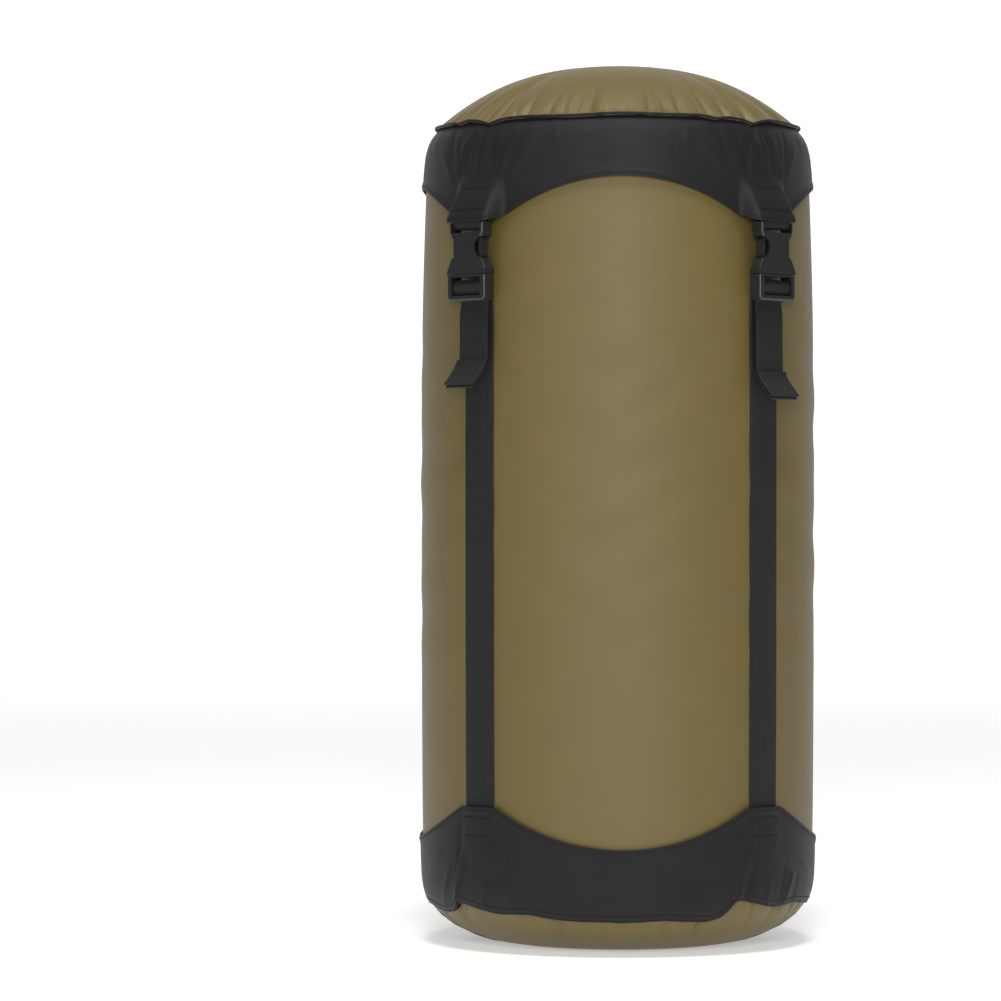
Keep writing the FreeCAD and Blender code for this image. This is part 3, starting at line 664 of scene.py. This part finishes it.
def through(points, count):
    """Evenly spread points on a smooth line through a few given ones, and the way it heads there."""
    points = np.array(points, dtype=float)
    ghost = np.vstack([2 * points[0] - points[1], points, 2 * points[-1] - points[-2]])
    fine = []
    for i in range(len(points) - 1):
        p0, p1, p2, p3 = ghost[i : i + 4]
        for t in np.linspace(0, 1, 24, endpoint=False):
            fine.append(0.5 * (2 * p1 + (p2 - p0) * t + (2 * p0 - 5 * p1 + 4 * p2 - p3) * t**2
                               + (3 * p1 - p0 - 3 * p2 + p3) * t**3))
    fine.append(points[-1])
    fine = np.array(fine)
    run = np.concatenate([[0], np.cumsum(np.linalg.norm(np.diff(fine, axis=0), axis=1))])
    marks = np.linspace(0, run[-1], count)
    line = np.stack([np.interp(marks, run, fine[:, k]) for k in range(points.shape[1])], axis=1)
    return line, run[-1]


def webbing_strip(name, corner, route, rows, width=strap_width, hug=1.0):
    """A strip of webbing at one corner, through (out, up) points; hug bends it round the sack."""
    line, length = through(route, rows + 1)
    angle = math.radians(strap_angles[corner])
    outward = np.array([math.cos(angle), math.sin(angle)])
    aside = np.array([-math.sin(angle), math.cos(angle)])

    def place(across, up):
        x = (across - 0.5) * width
        out = np.interp(up * rows, np.arange(rows + 1), line[:, 0]) - hug * x**2 / (2 * bow_radius)
        high = np.interp(up * rows, np.arange(rows + 1), line[:, 1])
        flat = np.outer(out, outward) + np.outer(x, aside)
        return flat[:, 0], flat[:, 1], high

    strip = cut_cloth(name, 8, rows, place, (width, length))
    give_thickness(strip, strap_thickness, 0)
    bevel = strip.modifiers.new("edge", "BEVEL")
    bevel.width = 0.00035
    bevel.segments = 2
    bevel.limit_method = "ANGLE"
    bevel.angle_limit = math.radians(50)
    bpy.context.view_layer.objects.active = strip
    bpy.ops.object.modifier_apply(modifier=bevel.name)
    strip.data.materials.append(webbing_cloth)
    return strip


webbing_cloth = webbing_material()
strap_heights = np.linspace(strap_foot + 0.002, strap_top, 25)
to_buckle = 0.0016 * smooth(strap_heights, 0.325, 0.347)
on_side = side_radius(strap_heights) - 0.0012 + strap_thickness * 0.6 + to_buckle
for corner in strap_angles:
    strap = webbing_strip(f"strap_{corner}", corner, list(zip(on_side, strap_heights)), 60)
    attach(strap, "base")
    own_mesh(strap)
    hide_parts(f"load_strap_{corner}")

# ---------------------------------------------------------------- strap tails
# Each strap turns over the bar of its ladder lock and hangs down in front as a short free tail,
# whose end is folded over and sewn into a tab that stands off the sack.

buckle_out = 0.11045
parting = 0.3514
tail_route = [
    (-0.0032, -0.0125), (-0.0032, -0.0100), (-0.0032, -0.0060), (-0.0024, -0.0040),
    (0.0000, -0.0034), (0.0022, -0.0050), (0.0024, -0.0080), (0.0008, -0.0102),
    (-0.0022, -0.0118), (-0.0032, -0.0148), (-0.0026, -0.0190), (-0.0023, -0.0240),
    (-0.0023, -0.0350),
]
tail_end = [(-0.0018, -0.0440), (0.0000, -0.0478), (0.0040, -0.0526), (0.0082, -0.0570)]
tab_route = [(-0.0008, -0.0425), (0.0012, -0.0466), (0.0052, -0.0514), (0.0090, -0.0554)]
tail_drop = {"front_left": 0.0015, "front_right": 0.0075, "back_left": 0.005, "back_right": 0.0}
tab_width = 0.0212


def at_buckle(route):
    """A route measured from a buckle's middle and parting line, in the sack's own frame."""
    return [(buckle_out + out, parting + up) for out, up in route]


for corner, drop in tail_drop.items():
    end = [(out, up - drop) for out, up in tail_end]
    tab_path = [(out, up - drop) for out, up in tab_route]
    tail = webbing_strip(f"tail_{corner}", corner, at_buckle(tail_route + end), 100, hug=0.2)
    tab = webbing_strip(f"tab_{corner}", corner, at_buckle(tab_path), 16, tab_width, hug=0.2)
    tab.parent = tail
    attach(tail, f"plug_{corner}")
    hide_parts(f"strap_tail_{corner}")

# ---------------------------------------------------------------- buckle loops
# A short loop of the same webbing hangs each buckle's socket from the band's tip, which hides it.

loop_route = [
    (-0.0082, 0.0500), (-0.0064, 0.0436), (-0.0044, 0.0386), (-0.0030, 0.0330), (-0.0025, 0.0262),
    (-0.0014, 0.0242), (0.0000, 0.0237), (0.0014, 0.0242), (0.0023, 0.0262), (0.0016, 0.0310),
    (-0.0002, 0.0350), (-0.0026, 0.0390), (-0.0050, 0.0436), (-0.0070, 0.0500),
]
for corner in strap_angles:
    loop = webbing_strip(f"loop_{corner}", corner, at_buckle(loop_route), 60, hug=0)
    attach(loop, "lid")
    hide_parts(f"buckle_loop_{corner}")

# ---------------------------------------------------------------- grab handle
# A strip of 25 mm webbing pulled flat across the base from left to right, with both ends caught
# in the seam of the lower band. A hand slides under it to pull the sack out of a bag.

handle_width = 0.025
handle_reach = 0.0985


def place_handle(across, up):
    x = (up - 0.5) * 2 * handle_reach
    y = (across - 0.5) * -handle_width
    height = np.interp(np.hypot(x, y) + 0.0006, side_radii[:8], side_heights[:8])
    return x, y, np.maximum(height - 0.0004, 0.0007)


handle = cut_cloth("grab_handle", 8, 80, place_handle, (handle_width, 2 * handle_reach))
give_thickness(handle, strap_thickness, 0)
handle.data.materials.append(webbing_cloth)
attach(handle, "base")
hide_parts("base_handle")

# ---------------------------------------------------------------- mouth
# Under the lid the tube closes in to a gathered collar of black nylon, with a hem round its edge
# that holds the drawcord. A sprung barrel lock grips the cord's two ends at the front.

mouth_radius = 0.045
mouth_height = 0.4425
collar_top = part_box("mouth_collar")[1].z
collar_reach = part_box("mouth_collar")[1].x


def place_collar(theta, rise):
    radius = collar_reach + (mouth_radius + 0.0016 - collar_reach) * rise
    sag = 0.0042 * np.sin(math.pi * rise)
    pleats = 0.0012 * np.sin(34 * theta + 2 * waves(theta, (3, 5), 0.3)) * rise
    height = 0.4300 + (collar_top - 0.4300) * rise - sag + pleats
    return radius * np.cos(theta), radius * np.sin(theta), height


collar = wrap_cloth("mouth_collar_cloth", 360, 24, place_collar, (0.6, 0.05))
give_thickness(collar, cloth_thickness)
collar.data.materials.append(black_cloth)
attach(collar, "crown")
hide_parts("mouth_collar")


def place_hem(theta, rise):
    turn = -rise * 2 * math.pi
    thick = 0.0025 * (1 + 0.10 * np.sin(52 * theta + 2 * waves(theta, (3, 5), 0.3)))
    radius = mouth_radius - thick * np.cos(turn)
    height = mouth_height + thick * np.sin(turn)
    return radius * np.cos(theta), radius * np.sin(theta), height


hem = wrap_cloth("hem_cloth", 360, 16, place_hem, (0.28, 0.016))
give_thickness(hem, cloth_thickness)
hem.data.materials.append(black_cloth)
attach(hem, "crown")
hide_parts("drawcord_hem")


def braided_cord():
    material = bpy.data.materials.new("black_cord")
    material.use_nodes = True
    nodes, links = material.node_tree.nodes, material.node_tree.links
    shader = nodes["Principled BSDF"]
    shader.inputs["Base Color"].default_value = (0.02, 0.02, 0.021, 1)
    shader.inputs["Roughness"].default_value = 0.6
    place = nodes.new("ShaderNodeTexCoord")
    strands = nodes.new("ShaderNodeTexWave")
    strands.bands_direction = "DIAGONAL"
    strands.inputs["Scale"].default_value = 200
    relief = nodes.new("ShaderNodeBump")
    relief.inputs["Distance"].default_value = 0.0002
    links.new(place.outputs["Object"], strands.inputs["Vector"])
    links.new(strands.outputs["Fac"], relief.inputs["Height"])
    links.new(relief.outputs["Normal"], shader.inputs["Normal"])
    return material


bpy.ops.object.select_all(action="DESELECT")
bpy.ops.mesh.primitive_torus_add(
    location=(0, 0, mouth_height), major_radius=mouth_radius, minor_radius=0.0015,
    major_segments=96, minor_segments=12,
)
cord = bpy.context.object
cord.name = "drawcord_ring"
for side in (-1, 1):
    bpy.ops.mesh.primitive_cylinder_add(
        vertices=16, radius=0.0015, depth=0.020,
        location=(side * 0.0016, -mouth_radius - 0.010, mouth_height), rotation=(math.pi / 2, 0, 0),
    )
    cord.select_set(True)
    bpy.context.view_layer.objects.active = cord
    bpy.ops.object.join()
    bpy.ops.object.select_all(action="DESELECT")
cord.select_set(True)
bpy.ops.object.transform_apply(location=True, rotation=True, scale=True)
bpy.ops.object.shade_smooth_by_angle(angle=math.radians(40))
cord.data.materials.append(braided_cord())
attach(cord, "crown")
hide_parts("drawcord")

# ---------------------------------------------------------------- hard parts
# The buckles, their arms and the cord lock are moulded in black acetal with a fine, slightly
# glossy texture. The lock's spring is bright steel and flattens behind its button.


def moulded_plastic():
    material = bpy.data.materials.new("black_plastic")
    material.use_nodes = True
    nodes, links = material.node_tree.nodes, material.node_tree.links
    shader = nodes["Principled BSDF"]
    shader.inputs["Base Color"].default_value = (0.011, 0.011, 0.012, 1)
    shader.inputs["Specular IOR Level"].default_value = 0.5
    place = nodes.new("ShaderNodeTexCoord")
    grain = nodes.new("ShaderNodeTexNoise")
    grain.inputs["Scale"].default_value = 1400
    grain.inputs["Detail"].default_value = 2
    links.new(place.outputs["Object"], grain.inputs["Vector"])
    gloss = nodes.new("ShaderNodeMapRange")
    gloss.inputs["To Min"].default_value = 0.26
    gloss.inputs["To Max"].default_value = 0.4
    links.new(grain.outputs["Fac"], gloss.inputs["Value"])
    links.new(gloss.outputs["Result"], shader.inputs["Roughness"])
    relief = nodes.new("ShaderNodeBump")
    relief.inputs["Strength"].default_value = 0.35
    relief.inputs["Distance"].default_value = 0.00006
    links.new(grain.outputs["Fac"], relief.inputs["Height"])
    links.new(relief.outputs["Normal"], shader.inputs["Normal"])
    return material


def spring_metal():
    material = bpy.data.materials.new("spring_steel")
    material.use_nodes = True
    nodes, links = material.node_tree.nodes, material.node_tree.links
    shader = nodes["Principled BSDF"]
    shader.inputs["Base Color"].default_value = (0.6, 0.6, 0.6, 1)
    shader.inputs["Metallic"].default_value = 1
    place = nodes.new("ShaderNodeTexCoord")
    marks = nodes.new("ShaderNodeTexNoise")
    marks.inputs["Scale"].default_value = 900
    gloss = nodes.new("ShaderNodeMapRange")
    gloss.inputs["To Min"].default_value = 0.2
    gloss.inputs["To Max"].default_value = 0.4
    links.new(place.outputs["Object"], marks.inputs["Vector"])
    links.new(marks.outputs["Fac"], gloss.inputs["Value"])
    links.new(gloss.outputs["Result"], shader.inputs["Roughness"])
    return material


plastic = moulded_plastic()
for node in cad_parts:
    if node.startswith(("buckle_socket", "buckle_plug", "release_arm", "cord_lock")):
        for place in bpy.data.objects[node].material_slots:
            place.material = plastic

spring = bpy.data.objects.new("lock_spring", bpy.data.objects["cord_lock_spring"].data.copy())
bpy.context.collection.objects.link(spring)
spring.data.materials.clear()
spring.data.materials.append(spring_metal())
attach(spring, "crown")
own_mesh(spring)
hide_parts("cord_lock_spring")

# ---------------------------------------------------------------- stitching
# Seams are sewn in black thread: a row along each edge of both bands, and bar tacks across the
# tips and peaks.


def stitches(name, rows, body, pitch=0.0026, long=0.0019, wide=0.00042):
    """Rows of stitches; each row is a line of points and the outward direction at each."""
    half = np.array([
        (-0.5, 0, 0), (-0.3, 0.5, 0), (-0.3, 0, 0.5), (-0.3, -0.5, 0), (-0.3, 0, -0.5),
        (0.3, 0.5, 0), (0.3, 0, 0.5), (0.3, -0.5, 0), (0.3, 0, -0.5), (0.5, 0, 0),
    ])
    faces = []
    for k in range(4):
        after = (k + 1) % 4
        faces += [(0, 1 + after, 1 + k), (1 + k, 1 + after, 5 + after, 5 + k), (5 + k, 5 + after, 9)]
    all_points, all_faces = [], []
    for points, outward in rows:
        run = np.concatenate([[0], np.cumsum(np.linalg.norm(np.diff(points, axis=0), axis=1))])
        count = max(1, int(run[-1] / pitch))
        middle = (np.arange(count) + 0.5) * run[-1] / count
        spot = np.stack([np.interp(middle, run, points[:, k]) for k in range(3)], axis=1)
        ahead = np.stack([np.interp(middle + 1e-4, run, points[:, k]) for k in range(3)], axis=1)
        behind = np.stack([np.interp(middle - 1e-4, run, points[:, k]) for k in range(3)], axis=1)
        normal = np.stack([np.interp(middle, run, outward[:, k]) for k in range(3)], axis=1)
        for place, way, up in zip(spot, ahead - behind, normal):
            way = way / (np.linalg.norm(way) + 1e-12)
            side = np.cross(up, way)
            side = side / (np.linalg.norm(side) + 1e-12)
            lift = np.cross(way, side)
            base = len(all_points)
            for a, b, c in half:
                all_points.append(place + way * a * long + side * b * wide + lift * c * wide)
            all_faces += [tuple(base + i for i in face) for face in faces]
    mesh = bpy.data.meshes.new(name)
    mesh.from_pydata([tuple(p) for p in all_points], [], all_faces)
    mesh.shade_smooth()
    thread = bpy.data.objects.new(name, mesh)
    bpy.context.collection.objects.link(thread)
    mesh.materials.append(thread_material)
    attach(thread, body)
    return thread


thread_material = bpy.data.materials.new("sewing_thread")
thread_material.use_nodes = True
thread_nodes, thread_links = thread_material.node_tree.nodes, thread_material.node_tree.links
thread_shader = thread_nodes["Principled BSDF"]
thread_shader.inputs["Roughness"].default_value = 0.7
thread_shader.inputs["Specular IOR Level"].default_value = 0.15
thread_place = thread_nodes.new("ShaderNodeTexCoord")
thread_noise = thread_nodes.new("ShaderNodeTexNoise")
thread_noise.inputs["Scale"].default_value = 2000
thread_tint = thread_nodes.new("ShaderNodeMix")
thread_tint.data_type = "RGBA"
thread_tint.inputs[6].default_value = (0.006, 0.006, 0.006, 1)
thread_tint.inputs[7].default_value = (0.02, 0.02, 0.022, 1)
thread_links.new(thread_place.outputs["Object"], thread_noise.inputs["Vector"])
thread_links.new(thread_noise.outputs["Fac"], thread_tint.inputs["Factor"])
thread_links.new(thread_tint.outputs[2], thread_shader.inputs["Base Color"])


def around(place, share_of, lift=0.00012, count=1440, start=0.0, end=2 * math.pi):
    """A row of points round the sack on a cloth, at a height inside it given by share_of(theta)."""
    theta = np.linspace(start, end, count)
    points = np.stack(place(theta, share_of(theta)), axis=1)
    outward = np.stack([np.cos(theta), np.sin(theta), np.zeros(count)], axis=1)
    return points + outward * lift, outward


def low_share(theta, height):
    return (height - base_seam(theta)) / (low_edge(theta) - base_seam(theta))


def high_share(theta, height):
    top = lid_seam(theta) - 0.0010
    return (height - high_edge(theta)) / (top - high_edge(theta))


tack_reach = 0.106


def tacks(place, share, height, half_width):
    """A bar tack across each corner at one height."""
    rows = []
    for angle in strap_angles.values():
        spread = half_width / tack_reach
        middle = math.radians(angle)
        rows.append(around(place, lambda t: share(t, height), count=40,
                           start=middle - spread, end=middle + spread))
    return rows


stitches("lower_edge_thread", [
    around(place_low_yoke, lambda t: low_share(t, low_edge(t) - 0.0018)),
    around(place_low_yoke, lambda t: low_share(t, base_seam(t) + 0.0022)),
], "base")
stitches("lower_tacks", tacks(place_low_yoke, low_share, low_peak - 0.0055, 0.0100)
         + tacks(place_low_yoke, low_share, low_peak - 0.0150, 0.0100), "base", 0.0012, 0.0012)
stitches("upper_edge_thread", [
    around(place_high_yoke, lambda t: high_share(t, high_edge(t) + 0.0018)),
    around(place_high_yoke, lambda t: high_share(t, lid_seam(t) - 0.0016)),
], "lid")
stitches("upper_tacks", tacks(place_high_yoke, high_share, high_tip + 0.0065, 0.0105)
         + tacks(place_high_yoke, high_share, high_tip + 0.0180, 0.0105), "lid", 0.0012, 0.0012)
